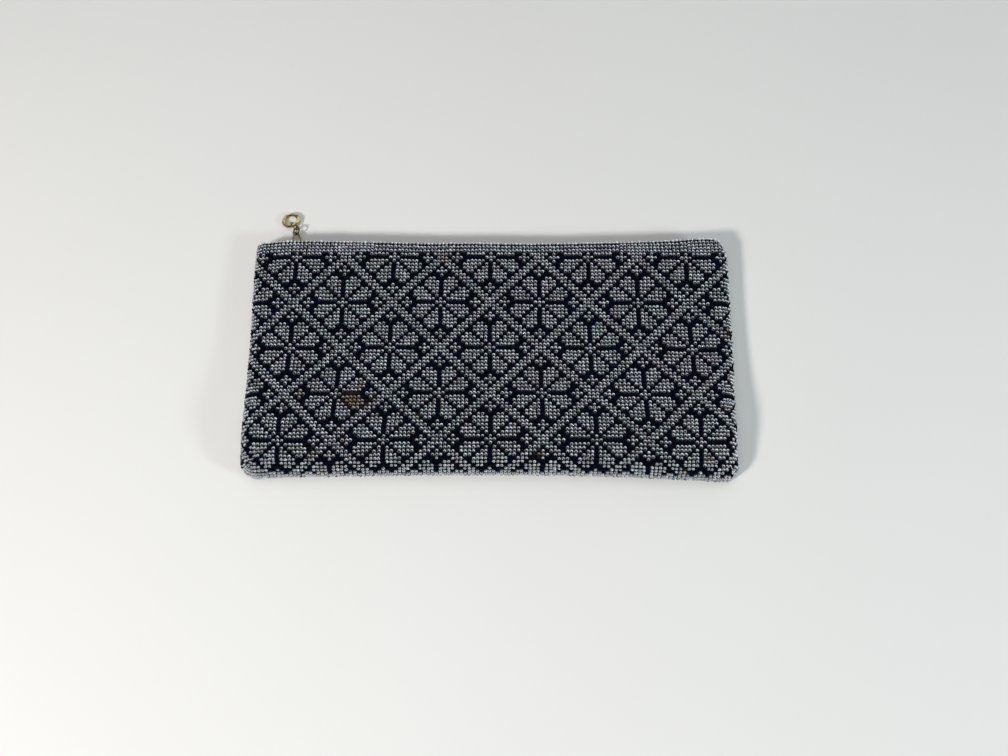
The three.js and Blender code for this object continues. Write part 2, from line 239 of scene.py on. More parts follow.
bagSet = {
    "rim": 0.0010,  # the mouth's edge is round
    "wall": 0.0020,
    "corner": (0.0085, 0.0055),  # the bottom corners, left and right
    "halfWidth": 0.112,
    "sideFold": 0.006,  # a middling radius of the side folds
    # from the bottom to the mouth: the thickness, and the reach of the left and right side folds
    "sections": inMetres(("y", "thick", "left", "right"), [
        (-64, 17.4, 107.8, 107.5),
        (-48, 16.8, 108.1, 107.7),
        (-35, 15.0, 108.5, 108.3),
        (-20, 12.6, 109.0, 109.2),
        (-5, 11.1, 109.6, 110.4),
        (10, 10.5, 110.2, 111.1),
        (25, 10.6, 111.1, 111.6),
        (40, 11.2, 111.8, 112.1),
        (50, 11.2, 112.1, 112.4),
        (58, 10.8, 112.1, 112.3),
    ]),
    # along the zip: the mouth's edge and the bottom fold
    "stations": inMetres(("x", "mouth", "bottom"), [
        (-112, 54.5, -60.8),
        (-108, 54.8, -60.7),
        (-90, 54.9, -60.3),
        (-60, 54.3, -59.8),
        (-30, 53.9, -59.3),
        (0, 53.6, -59.1),
        (30, 53.6, -59.2),
        (60, 54.2, -59.8),
        (80, 55.1, -60.7),
        (96, 56.2, -61.2),
        (104, 56.4, -61.2),
        (107.5, 56.0, -61.1),
        (110, 52.6, -61.0),
        (112.3, 47.5, -60.9),
    ]),
    "flatEnd": {"from": -0.092, "to": -0.112, "low": 0.015, "high": 0.052, "drop": 0.0024},
    "pinch": {"from": 0.086, "to": 0.112, "high": -0.036, "low": -0.062, "drop": 0.008},
}


def curveThrough(place, value, at):
    # Cubic between a table's rows, whose slope at a row is that of the line between its two neighbours
    slope = np.empty(len(place))
    slope[1:-1] = (value[2:] - value[:-2]) / (place[2:] - place[:-2])
    slope[0] = (value[1] - value[0]) / (place[1] - place[0])
    slope[-1] = (value[-1] - value[-2]) / (place[-1] - place[-2])
    at = np.clip(at, place[0], place[-1])
    low = np.clip(np.searchsorted(place, at) - 1, 0, len(place) - 2)
    high = low + 1
    span = place[high] - place[low]
    part = (at - place[low]) / span
    rest = 1 - part
    near = (1 + 2 * part) * rest * rest * value[low] + part * rest * rest * span * slope[low]
    return near + part * part * (3 - 2 * part) * value[high] - part * part * rest * span * slope[high]


def ease(start, end, at):
    # 0 up to the start and 1 past the end, an S between them
    part = np.clip((at - start) / (end - start), 0, 1)
    return part * part * (3 - 2 * part)


def signOf(value):
    return np.where(value < 0, -1.0, 1.0)


def sectionAt(column, y):
    return curveThrough(bagSet["sections"]["y"], bagSet["sections"][column], y)


def stationAt(column, x):
    return curveThrough(bagSet["stations"]["x"], bagSet["stations"][column], x)


def thickAt(x, y):
    # The section's thickness, less at the flattened left end of the mouth and at the pinched bottom corners
    end, pinch = bagSet["flatEnd"], bagSet["pinch"]
    flat = ease(end["from"], end["to"], x) * ease(end["low"], end["high"], y)
    corner = ease(pinch["from"], pinch["to"], np.abs(x)) * ease(pinch["high"], pinch["low"], y)
    return sectionAt("thick", y) - end["drop"] * flat - pinch["drop"] * corner


def nearX(share):
    # Rough x of a share of the way from the middle to a side fold, with one fold radius all along
    fold, half = bagSet["sideFold"], bagSet["halfWidth"]
    arc = (half + fold * (rightAngle - 1)) * (1 - np.abs(share))
    angle = np.clip(arc / fold, -rightAngle, rightAngle)
    inward = fold * (1 - np.cos(angle)) + np.maximum(arc - fold * rightAngle, 0)
    return signOf(share) * (half - inward)


def foldOf(x):
    # The bottom fold at x: its lowest y, its radius, and the cloth its round takes beyond a straight run
    bottom = stationAt("bottom", x)
    radius = thickAt(x, bottom) / 2
    return bottom, radius, radius * (rightAngle - 1)


def clothPoint(share, arc, depth):
    # A point of the wall: share runs from side fold to side fold, arc along the cloth from the bottom fold,
    # positive on the front and negative on the back. Each way the cloth goes a quarter turn round its fold,
    # then straight on. The lower of the two turns' sines lifts the point from the middle plane to the face,
    # and square corners are drawn in to round ones.
    share, arc = np.broadcast_arrays(share, arc)
    side = signOf(share)
    bottom, foldR, _ = foldOf(nearX(share))
    along = np.minimum(np.abs(arc) / foldR, rightAngle)
    insetY = foldR * (1 - np.cos(along)) + np.maximum(np.abs(arc) - foldR * rightAngle, 0)
    reach = np.where(side < 0, sectionAt("left", bottom + insetY), sectionAt("right", bottom + insetY))
    sideR = thickAt(side * reach, bottom + insetY) / 2
    run = (reach + sideR * (rightAngle - 1)) * (1 - np.abs(share))
    across = np.minimum(run / sideR, rightAngle)
    insetX = sideR * (1 - np.cos(across)) + np.maximum(run - sideR * rightAngle, 0)
    insetX = insetX + depth * np.cos(across)
    insetY = insetY + depth * np.cos(along)
    corner = np.where(side < 0, *bagSet["corner"])
    cornerX, cornerY = corner - insetX, corner - insetY
    inCorner = (cornerX > 0) & (cornerY > 0)
    pull = np.maximum(cornerX, cornerY) / np.maximum(np.hypot(cornerX, cornerY), tiny)
    insetX = np.where(inCorner, corner - cornerX * pull, insetX)
    insetY = np.where(inCorner, corner - cornerY * pull, insetY)
    x = side * (reach - insetX)
    y = bottom + insetY
    half = thickAt(x, y) / 2
    lift = np.minimum(np.sin(across), np.sin(along))
    z = half + signOf(arc) * (half - depth) * lift
    return np.stack([x, y, z], -1)


# Bead chart: a flower in a lattice, silver # and navy dots, from the flower's middle outwards
flowerChart = [
    "##......###.##",
    "#.#####..#.###",
    ".#.#####..###.",
    ".##.####.###.#",
    ".###.##.###.##",
    ".####..###...#",
    ".####.###.##..",
]
chartMarks = np.array([[mark == "#" for mark in line] for line in flowerChart])
halfRepeat = 13  # beads from a flower's middle to the next axis of the lattice


def chartSilver(column, row):
    # The repeat is mirrored at every axis, and its far half is the near half turned half round
    across = np.abs((column + halfRepeat) % (2 * halfRepeat) - halfRepeat)
    along = np.abs((row + halfRepeat) % (2 * halfRepeat) - halfRepeat)
    far = along >= len(flowerChart)
    return chartMarks[np.where(far, halfRepeat - along, along), np.where(far, halfRepeat - across, across)]


# Beads
beadSet = {
    "pitch": 0.00175,
    "columns": 65,  # from the middle flower to a side fold
    "evenRows": 13,  # rows from the middle flower that lie straight
    "foldRow": 36.9,  # the row at the bottom fold
    "lastRow": 27,  # the last charted row before the silver border, front
    "lastBackRow": 100,
    # rows to each side of the bottom fold that are all silver, and the further ones at the left corner
    "foldBorder": 1, "cornerBorder": 3.5, "cornerFrom": (-0.70, -0.95),
    "edge": 0.00085,  # from the mouth's edge to the middle of the last bead
    # the columns' fan towards the bottom, by which y, and how late it fades at the side folds
    "spread": 0.0130, "spreadAt": 0.0455, "spreadPower": 4,
    "radius": 0.00090,
    "depth": 0.00090,  # of a bead's middle under the wall's outer face
    "probe": 0.25,  # beads to each side, where the cloth's run is measured
    "wideRoom": (0.6, 1.1), "longRoom": (0.6, 1.15),  # least and most scale of a bead
    # sides, then along the hole, in radii: place, radius and darkness from its floor to the covered end;
    # the darkness is painted shade in and round the hole
    "profile": {
        "Front": (8, [(-0.08, 0, 1), (-0.60, 0.40, 0.95), (-0.77, 0.57, 0.15), (-0.24, 0.96, 0),
                      (0.45, 0.93, 0), (0.70, 0, 0)]),
        "Back": (6, [(-0.15, 0, 1), (-0.68, 0.48, 0.8), (-0.38, 0.98, 0), (0.42, 0.96, 0), (0.70, 0, 0)]),
    },
    "mapLevels": (0.02, 0.98), "mapMargin": 0.06,  # of a bead's own square of the map
    # degrees: the lower end tips out, less where the cloth's slope is a fold's; the bead turns in the cloth
    "tilt": 39, "tiltSpread": 11, "foldTilt": 4, "foldSlope": (0.45, 0.92),
    "turn": -8, "turnAcross": -10, "turnSpread": 14,
    "sizeSpread": 0.055, "sizeLimits": (-2, 1.2), "placeSpread": 0.00008,
    "rimSize": 0.80, "rimReach": (0.0021, 0.0014),  # narrower beads, this near to the mouth's edge
    # how the worked rows and columns lie off a straight lattice
    "sagMiddle": 0.00025, "sagEnds": 0.0013, "sagPower": 1.5, "sway": 0.0005, "swayPower": 8,
    "wander": 0.00012, "wanderSpeed": 0.42,
    "waves": 7, "waveHeight": 0.5,  # of the slow waves that beads wander and change tint by
}


def workedShare(row):
    # How far down the front a row lies: 0 at the last charted row under the mouth,
    # 1 at the bottom fold and behind it
    first = -beadSet["lastRow"]
    return np.clip((row - first) / (beadSet["foldRow"] - first), 0, 1)


def rowSag(share, row):
    # Rows sag in an arch between the mouth and the bottom fold, the more so towards the side folds
    deepest = beadSet["sagMiddle"] + beadSet["sagEnds"] * np.abs(share) ** beadSet["sagPower"]
    return deepest * np.sin(np.pi * workedShare(row))


def columnSway(share, row):
    # Columns bend left in the upper half and right in the lower one, more so towards the right fold
    return -beadSet["sway"] * (1 + share) / 2 * np.sin(2 * np.pi * workedShare(row))


def foldsKept(share, power):
    # 1 in the middle and 0 at the side folds, later the higher the power
    return 1 - share ** power


def fanned(share, row, y):
    # Columns stand a little closer at the mouth and wider at the bottom, and sway a little, side folds kept
    fan = beadSet["spread"] * (y / beadSet["spreadAt"]) * share * foldsKept(share, beadSet["spreadPower"])
    sway = columnSway(share, row) / bagSet["halfWidth"] * foldsKept(share, beadSet["swayPower"])
    return share - fan + sway


def arcOfRow(row, share):
    # Straight rows have their own y; from the last of them to the bottom fold
    # the rows share the cloth evenly; all of them sag
    pitch, even, fold = beadSet["pitch"], beadSet["evenRows"], beadSet["foldRow"]
    bottom, _, spare = foldOf(nearX(share))
    upward = np.abs(row - fold)
    y = (upward - fold) * pitch
    straight = y - bottom + spare
    shared = (-even * pitch - bottom + spare) * upward / (fold - even)
    arc = np.where(upward > fold - even, straight, shared) - rowSag(share, row)
    return np.where(row > fold, -arc, arc), y


def borderRows(columns, lastRow, sign):
    # The silver rows from the last charted row to the mouth's edge, as many as fit, spaced evenly;
    # the sign is 1 on the front and -1 on the back
    share = columns / beadSet["columns"]
    x = nearX(share)
    bottom, _, spare = foldOf(x)
    start, _ = arcOfRow(np.full(len(columns), float(lastRow)), share)
    room = stationAt("mouth", x) - beadSet["edge"] - bottom + spare - np.abs(start)
    count = np.maximum(np.round(room / beadSet["pitch"]), 1)
    step = np.arange(1, int(count.max()) + 1)[:, None]
    kept = step <= count
    arc = np.abs(start) + room * step / count
    rows = np.broadcast_to(lastRow - sign * step, arc.shape)
    y = arc + bottom - spare
    return np.broadcast_to(columns, arc.shape)[kept], rows[kept], sign * arc[kept], y[kept]


def layBeads():
    # Column, row, arc, y and glass of every bead: charted rows down the front, round the bottom
    # and up the back, with silver ones along the side folds, the bottom fold and the mouth
    most, fold = beadSet["columns"], beadSet["foldRow"]
    front, back = np.arange(-most, most + 1), np.arange(1 - most, most)
    groups = []
    for columns, rows in (
        (front, np.arange(-beadSet["lastRow"], int(fold) + 1)),
        (back, np.arange(int(fold) + 1, beadSet["lastBackRow"] + 1)),
    ):
        row, column = np.meshgrid(rows, columns, indexing="ij")
        arc, y = arcOfRow(row, column / most)
        deep = beadSet["foldBorder"] + beadSet["cornerBorder"] * ease(*beadSet["cornerFrom"], column / most)
        border = (np.abs(column) == most) | (np.abs(row - fold) < deep)
        silver = chartSilver(column, row) | border
        groups.append([part.ravel() for part in (column, row, arc, y, silver)])
    for edging in (
        borderRows(front, -beadSet["lastRow"], 1.0),
        borderRows(back, beadSet["lastBackRow"], -1.0),
    ):
        groups.append((*edging, np.ones(len(edging[0]), bool)))
    return [np.concatenate(parts) for parts in zip(*groups)]


def beadAxes(share, arc):
    # Bead middles with the directions across, along and out of the cloth, and the room there is each way
    stepShare, stepArc = beadSet["probe"] / beadSet["columns"], beadSet["probe"] * beadSet["pitch"]
    depth = beadSet["depth"]
    middle = clothPoint(share, arc, depth)
    across = clothPoint(share + stepShare, arc, depth) - clothPoint(share - stepShare, arc, depth)
    along = clothPoint(share, arc + stepArc, depth) - clothPoint(share, arc - stepArc, depth)
    wide = np.clip(np.linalg.norm(across, axis=-1) / (2 * stepArc), *beadSet["wideRoom"])
    long = np.clip(np.linalg.norm(along, axis=-1) / (2 * stepArc), *beadSet["longRoom"])
    out = unit(np.cross(across, along))
    across = unit(across)
    return middle, across, np.cross(out, across), out, wide, long


def beadTemplate(face):
    # One bead as a turned profile, open hole at the lower end; triangles, their places on a map, and the
    # painted shade in and round the hole at each point
    sides, profile = beadSet["profile"][face]
    place, radius, dark = np.array(profile).T[:, :, None]
    turn = -fullTurn(sides)  # this way round the faces point outwards
    ring = np.stack([radius * np.sin(turn), np.repeat(place, sides, 1), radius * np.cos(turn)], -1)
    points = np.concatenate([ring[0, :1], ring[1:-1].reshape(-1, 3), ring[-1, :1]])
    holeshade = np.concatenate([dark[0], np.repeat(dark[1:-1, 0], sides), dark[-1]])
    here = np.arange(sides)
    after = (here + 1) % sides
    low, mid, high = here / sides, (here + 0.5) / sides, (here + 1) / sides
    level = np.linspace(*beadSet["mapLevels"], len(profile))[:, None] * np.ones(sides)
    faces = [np.stack([0 * here, 1 + here, 1 + after], -1)]
    marks = [np.stack([mid, level[0], low, level[1], high, level[1]], -1)]
    for band in range(1, len(profile) - 2):
        upper = 1 + band * sides
        lower = upper - sides
        near, far = level[band], level[band + 1]
        faces.append(np.stack([lower + here, upper + here, upper + after], -1))
        marks.append(np.stack([low, near, low, far, high, far], -1))
        faces.append(np.stack([lower + here, upper + after, lower + after], -1))
        marks.append(np.stack([low, near, high, far, high, near], -1))
    last = len(points) - 1
    rim = last - sides
    faces.append(np.stack([np.full(sides, last), rim + after, rim + here], -1))
    marks.append(np.stack([mid, level[-1], high, level[-2], low, level[-2]], -1))
    return points, np.concatenate(faces), np.concatenate(marks).reshape(-1, 2), holeshade


def beadWays(share, arc):
    # Every bead's middle and its three half axes: scaled to its room, turned a little,
    # lower end tipped outwards, less so round the folds and along the mouth's edge
    middle, across, along, out, wide, long = beadAxes(share, arc)
    count = len(share)
    rim = ease(*beadSet["rimReach"], stationAt("mouth", middle[:, 0]) - middle[:, 1])
    flat = ease(*beadSet["foldSlope"], np.abs(out[:, 2])) * (1 - rim)
    lean = beadSet["foldTilt"] + (beadSet["tilt"] - beadSet["foldTilt"]) * flat
    tilt = np.radians(lean + beadSet["tiltSpread"] * dice.standard_normal(count))[:, None]
    slant = beadSet["turn"] + beadSet["turnAcross"] * share
    turn = np.radians(slant + beadSet["turnSpread"] * dice.standard_normal(count))[:, None]
    uneven = np.clip(dice.standard_normal(count), *beadSet["sizeLimits"])
    size = beadSet["radius"] * (1 + beadSet["sizeSpread"] * uneven)
    wide = wide * (1 + (beadSet["rimSize"] - 1) * rim)
    stray = sum(dice.standard_normal((count, 1)) * way for way in (across, along))
    middle = middle + beadSet["placeSpread"] * stray
    wayU = np.cos(turn) * across + np.sin(turn) * along
    wayV = np.cos(turn) * along - np.sin(turn) * across
    tipped = np.cos(tilt) * wayV - np.sin(tilt) * out
    raised = np.cos(tilt) * out + np.sin(tilt) * wayV
    scales = (size * wide, size * long, size * np.minimum(wide, long))
    axes = [way * scale[:, None] for way, scale in zip((wayU, tipped, raised), scales)]
    return [middle, *axes]


def beadMesh(name, face, ways, tint, soil):
    # All beads of one piece in one mesh, each with its own colour and its own square of the map
    points, faces, marks, holeshade = beadTemplate(face)
    places = ways[0][:, None] + sum(way[:, None] * points[:, k:k + 1] for k, way in enumerate(ways[1:]))
    count, size = places.shape[:2]
    mesh = meshFrom(name, places.reshape(-1, 3), repeatFaces(faces, count, size))
    squares = int(np.ceil(np.sqrt(count)))
    corner = np.stack([np.arange(count) % squares, np.arange(count) // squares], -1)
    margin = beadSet["mapMargin"]
    spots = (corner[:, None] + margin + (1 - 2 * margin) * marks) / squares
    mesh.uv_layers.new(name="OFBake").data.foreach_set("uv", spots.astype(np.float32).ravel())
    colour = mesh.attributes.new("beadTint", "FLOAT_COLOR", "POINT")
    shades = np.ones((count, size, 4), np.float32)
    shades[..., :3] = tint[:, None]
    colour.data.foreach_set("color", shades.ravel())
    # each point's soil, and the painted shade in and round its bead's hole
    for label, values in (("beadSoil", np.repeat(soil, size)), ("beadHoleShade", np.tile(holeshade, count))):
        mesh.attributes.new(label, "FLOAT", "POINT").data.foreach_set("value", values.astype(np.float32))
    return mesh


# Soiled beads
soilSet = {
    "core": 1.3,  # how full a spot is before it fades
    "rough": 0.15,  # added where a bead is soiled
    # column, row, reach in beads, strength
    "spots": [
        (-34.5, 14.8, 2.4, 0.80), (-32, 16, 1.5, 0.60), (-36.5, 14, 1.4, 0.50), (-33, 11, 1.2, 0.55),
        (-60, 10, 1.1, 0.50), (-48, 13, 1.2, 0.55), (-29, 15, 1.1, 0.50), (-43, 29, 1.2, 0.50),
        (-41, 34, 1.1, 0.45), (-36, 26, 1.0, 0.35), (-18, 20, 1.1, 0.45), (-8, 10, 1.0, 0.40),
        (12, 9, 1.0, 0.40), (12, 30, 1.2, 0.60), (62, -5, 1.5, 0.60), (59, 17, 1.0, 0.45),
        (54, 30, 1.3, 0.45), (48, 34, 1.1, 0.40), (-13, -26, 1.5, 0.50), (-43, -16, 1.1, 0.40),
        (-52, 0, 1.1, 0.40),
    ],
}


def soilOf(column, row, front):
    # Each spot fades with the square of the distance from its middle, counted in beads
    soil = np.zeros(len(column))
    for spotColumn, spotRow, reach, strength in soilSet["spots"]:
        far = ((column - spotColumn) ** 2 + (row - spotRow) ** 2) / reach ** 2
        soil = np.maximum(soil, strength * np.clip(soilSet["core"] - far, 0, 1))
    return soil * front


# Bead finish, shared by both glasses: own tint, brown soil, and painted shade in and round the hole
def beadFinishGroup():
    tree, given, result = newGroup(
        "beadFinish",
        (("Glass", "Color"), ("Soil", "Color"), ("HoleShade", "Color"), ("Gloss", "Float")),
        (("Color", "Color"), ("Roughness", "Float")),
    )
    tint, soil, holeshade = [
        addNode(tree, "ShaderNodeAttribute", attribute_name=label).outputs
        for label in ("beadTint", "beadSoil", "beadHoleShade")
    ]
    glass = mixColour(tree, 1.0, given["Glass"], tint["Color"], "MULTIPLY")
    soiled = mixColour(tree, soil["Fac"], glass, given["Soil"])
    feed(tree, result, {
        # painted shade over the hole and its rim, by each point's share
        "Color": mixColour(tree, holeshade["Fac"], soiled, given["HoleShade"]),
        "Roughness": mathNode(tree, "MULTIPLY_ADD", soil["Fac"], soilSet["rough"], given["Gloss"]),
    })
    return tree


beadFinish = beadFinishGroup()


def beadMaterial(name, look):
    material, tree, shader = newMaterial(name)
    out = placeGroup(tree, beadFinish, look)
    feed(tree, shader, {
        "Base Color": out["Color"],
        "Roughness": out["Roughness"],
        "Metallic": look["metal"],
        "Specular IOR Level": look["shine"],
    })
    return material


# Each look's third colour is painted shade in and round the beads' holes
silverLook = {
    "glass": (0.66, 0.69, 0.72, 1), "soil": (0.36, 0.21, 0.08, 1), "holeshade": (0.012, 0.013, 0.018, 1),
    "gloss": 0.19, "metal": 0.95, "shine": 0.5,
    "tintSpread": 0.17, "rainbow": 0.026, "patch": 0.014,
}
navyLook = {
    "glass": (0.0007, 0.0027, 0.0110, 1), "soil": (0.05, 0.03, 0.015, 1), "holeshade": (0.002, 0.002, 0.003, 1),
    "gloss": 0.40, "metal": 0.0, "shine": 0.045,
    "tintSpread": 0.25, "rainbow": 0.03, "patch": 0.0,
}
tintSet = {
    "lightLimit": 2,  # spreads to either side
    "pinkGreen": np.array([0.8, -1.0, 0.4]),
    "patchSpeed": 0.22,
    "range": (0.3, 1.6),
}


def slowWaves(column, row, speed):
    # Crossed waves over columns and rows, each at most speed radians from bead to bead,
    # their sum mostly within -2 and 2
    count = beadSet["waves"]
    slow, start = dice.uniform(-speed, speed, (2, count)), dice.uniform(0, 2 * np.pi, count)
    waves = np.cos(np.outer(column, slow[0]) + np.outer(row, slow[1]) + start)
    return waves.sum(1) * beadSet["waveHeight"]


def beadTints(column, row, look):
    # Lighter and darker beads, a little pink or green: each its own, and in patches as crossed slow waves
    count, most = len(column), tintSet["lightLimit"]
    light = 1 + look["tintSpread"] * np.clip(dice.standard_normal((count, 1)), -most, most)
    patch = slowWaves(column, row, tintSet["patchSpeed"])[:, None]
    hue = look["rainbow"] * dice.standard_normal((count, 1)) + look["patch"] * patch
    return np.clip(light * (1 + hue * tintSet["pinkGreen"]), *tintSet["range"])


def makeBeads():
    # Eight pieces: silver and navy, front and back, left and right
    column, row, arc, y, silver = layBeads()
    share = fanned(column / beadSet["columns"], row, y)
    aside, ahead = [beadSet["wander"] * slowWaves(column, row, beadSet["wanderSpeed"]) for _ in range(2)]
    share = share + aside / bagSet["halfWidth"] * foldsKept(share, beadSet["swayPower"])
    ways = beadWays(share, arc + ahead)
    front = row <= beadSet["foldRow"]
    soil = soilOf(column, row, front)
    for glass, look, isGlass in (("silver", silverLook, silver), ("navy", navyLook, ~silver)):
        material = beadMaterial(glass + "Beads", look)
        tint = beadTints(column, row, look)
        for face, isFace in (("Front", front), ("Back", ~front)):
            for end, isEnd in (("Left", column < 0), ("Right", column >= 0)):
                pick = isGlass & isFace & isEnd
                name = glass + "Beads" + face + end
                mesh = beadMesh(name, face, [way[pick] for way in ways], tint[pick], soil[pick])
                addPiece(name, mesh, material, "beaded_shell")
    print("beads laid:", len(column), "of which silver:", int(silver.sum()))


makeBeads()

# Woven cloth, shared by the backing and the zip's tapes
weaveSet = {"bump": 0.5, "deep": 0.0002, "shine": 0.2}


def weaveGroup():
    # Threads over and under: two crossed waves, one colour between the threads, which is painted shade, and
    # one on them
    tree, given, result = newGroup(
        "weave",
        (("Map", "Vector"), ("Count", "Float"), ("Thread", "Color"), ("Shade", "Color")),
        (("Color", "Color"), ("Height", "Float")),
    )
    split = addNode(tree, "ShaderNodeSeparateXYZ", {0: given["Map"]})
    waves = []
    for way in split.outputs[:2]:
        turn = mathNode(tree, "MULTIPLY", way, given["Count"])
        waves.append(mathNode(tree, "SINE", mathNode(tree, "MULTIPLY", turn, 2 * np.pi)))
    crossed = mathNode(tree, "MULTIPLY", *waves)
    height = mathNode(tree, "MULTIPLY_ADD", crossed, 0.5, 0.5)  # from -1 and 1 to 0 and 1
    feed(tree, result, {
        "Color": mixColour(tree, height, given["Shade"], given["Thread"]),
        "Height": height,
    })
    return tree


weave = weaveGroup()


def wovenMaterial(name, mapName, look):
    material, tree, shader = newMaterial(name)
    spots = addNode(tree, "ShaderNodeUVMap", uv_map=mapName).outputs["UV"]
    out = placeGroup(tree, weave, {"map": spots, **look})
    feed(tree, shader, {
        "Base Color": out["Color"],
        "Roughness": look["rough"],
        "Specular IOR Level": weaveSet["shine"],
        "Normal": bumpNormal(tree, out["Height"], weaveSet["bump"], weaveSet["deep"]),
    })
    return material


# Cloth that the beads are worked on
clothSet = {
    "face": 0.00115,  # depth of the cloth's face under the beads' tips
    "back": 0.0020,
    "short": 0.0004,  # the cloth ends this far below the mouth's edge
    "columns": 91, "rows": 60, "turns": 4,
    "mapAcross": 65, "mapAlong": 66, "mapEdge": 0.01,  # threads over the half width and the height
    "look": {
        "count": 1.0, "rough": 0.85,
        "thread": (0.002, 0.0025, 0.005, 1), "shade": (0.0008, 0.001, 0.002, 1),
    },
}


def makeCloth():
    # Front and back: up the outer face, round the edge at the mouth, down the inner face
    share = np.linspace(-1, 1, clothSet["columns"])
    x = nearX(share)
    bottom, _, spare = foldOf(x)
    full = stationAt("mouth", x) - bagSet["rim"] - bottom + spare
    climb = np.linspace(0, 1, clothSet["rows"])[:, None]
    middle = (clothSet["face"] + clothSet["back"]) / 2
    half = (clothSet["back"] - clothSet["face"]) / 2
    turn = np.linspace(0, np.pi, clothSet["turns"] + 2)[1:-1]
    climbed = np.concatenate([climb[:, 0], 1 + clothSet["mapEdge"] * np.sin(turn), climb[::-1, 0]])
    mapX, mapY = share * clothSet["mapAcross"], climbed[:, None] * clothSet["mapAlong"]
    grids, maps = [], []
    for sign in (1.0, -1.0):
        nudge = tiny * sign  # keeps the fold row on its own side
        up = clothPoint(share, climb * full * sign + nudge, clothSet["face"])
        edge = np.stack([clothPoint(share, full * sign, middle - half * np.cos(angle)) for angle in turn])
        edge[..., 1] += (bagSet["rim"] - clothSet["short"]) * np.sin(turn)[:, None]
        down = clothPoint(share, climb[::-1] * full * sign + nudge, clothSet["back"])
        grids.append(np.concatenate([up, edge, down]))
        maps.append(np.stack(np.broadcast_arrays(mapX, sign * mapY), -1))
    rows, columns = grids[0].shape[:2]
    quads = gridFaces(rows, columns)
    faces = np.concatenate([quads, quads[:, ::-1] + rows * columns])
    mesh = meshFrom("clothBacking", np.concatenate(grids).reshape(-1, 3), faces)
    setMap(mesh, "clothMap", np.concatenate(maps).reshape(-1, 2))
    closeSeams(mesh)
    material = wovenMaterial("beadCloth", "clothMap", clothSet["look"])
    addPiece("clothBacking", mesh, material, "beaded_shell")
    print("cloth made")


makeCloth()

# Zip
zipSet = {
    "left": -0.103, "right": 0.102, "behind": 0.0030, "steps": 140,
    "tapeThick": 0.0008, "tapeGap": 0.00045, "deep": 0.012, "bend": 0.0007,
    "lip": 0.00225, "lipLeast": 0.0002,  # where the tape starts from the zip's middle, and its least lip
    "lipSteps": 6, "bendSteps": 7, "dropSteps": 14, "endSteps": 6,
    "mapAlong": 1000, "mapAround": 27,  # threads for each metre, and round the tape
    "teethFrom": -0.0912, "teethTo": 0.099, "pitch": 0.0026,
    "toothHalf": (0.00045, 0.00072, 0.00092), "toothMiddle": 0.000425, "toothPower": 0.45,
    "toothRings": 6, "toothSides": 12,
    "cordMiddle": 0.00165, "cordHalf": (0.00070, 0.00030), "cordPast": 0.0004,
    "cordSteps": 160, "cordSides": 12,
    "tapeLook": {
        "count": 1.6, "rough": 0.9,
        "thread": (0.012, 0.016, 0.034, 1), "shade": (0.004, 0.005, 0.012, 1),
    },
}


def chainPlace(x):
    # The zip's middle line: a little below the mouth's edge, half way between the walls
    mouth = stationAt("mouth", x)
    return mouth - zipSet["behind"], thickAt(x, mouth) / 2


def tapeProfile(x, up):
    # Middle line of a tape at each x, as (y, z): from the teeth to the wall, round a bend, down the wall
    y, z = chainPlace(x)
    deepY = stationAt("mouth", x) - zipSet["deep"]
    bend, off = zipSet["bend"], zipSet["tapeGap"] + zipSet["tapeThick"] / 2

    def wallZ(at):
        return thickAt(x, at) - bagSet["wall"] - off if up > 0 else np.full_like(at, bagSet["wall"] + off)

    nearY, nearZ = y - bend, wallZ(y) - up * bend
    room = np.abs(nearZ - z)  # from the zip's middle line to the start of the bend
    lipFrom = z + up * np.minimum(zipSet["lip"], room - zipSet["lipLeast"])
    lip = np.linspace(0, 1, zipSet["lipSteps"])[:, None]
    turn = np.linspace(0, rightAngle, zipSet["bendSteps"])[1:-1, None]
    drop = np.linspace(0, 1, zipSet["dropSteps"])[:, None]
    ys = np.concatenate([y + 0 * lip, nearY + bend * np.cos(turn), nearY + (deepY - nearY) * drop])
    zs = np.concatenate([
        lipFrom + (nearZ - lipFrom) * lip,
        nearZ + up * bend * np.sin(turn),
        wallZ(nearY + (deepY - nearY) * drop),
    ])
    return np.stack([ys, zs], -1)


def makeTape(name, node, up, material):
    # The middle line gets half the thickness to each side and a round at both ends, carried along the zip;
    # each end is closed by a row drawn together in its middle
    x = np.linspace(zipSet["left"], zipSet["right"], zipSet["steps"])
    line = tapeProfile(x, up)
    ahead = unit(np.gradient(line, axis=0))
    square = np.stack([-ahead[..., 1], ahead[..., 0]], -1)
    half = zipSet["tapeThick"] / 2
    turn = np.linspace(0, np.pi, zipSet["endSteps"])[1:-1, None, None]
    deepEnd = line[-1] + half * (np.cos(turn) * square[-1] + np.sin(turn) * ahead[-1])
    lipEnd = line[0] - half * (np.cos(turn) * square[0] + np.sin(turn) * ahead[0])
    loop = np.concatenate([line + half * square, deepEnd, (line - half * square)[::-1], lipEnd])
    count = len(loop)
    points = np.concatenate([np.broadcast_to(x, loop.shape[:2])[..., None], loop], -1)
    points = points.transpose(1, 0, 2)
    middles = np.repeat(points[[0, -1]].mean(1, keepdims=True), count, 1)
    grid = np.concatenate([middles[:1], points, middles[1:]])
    mesh = meshFrom(name, grid.reshape(-1, 3), gridFaces(len(grid), count, wrapColumns=True))
    mapX = grid[:, :, 0] * zipSet["mapAlong"]
    mapY = np.linspace(0, zipSet["mapAround"], count, endpoint=False)
    setMap(mesh, "tapeMap", np.stack(np.broadcast_arrays(mapX, mapY), -1).reshape(-1, 2))
    closeSeams(mesh)
    addPiece(name, mesh, material, node)


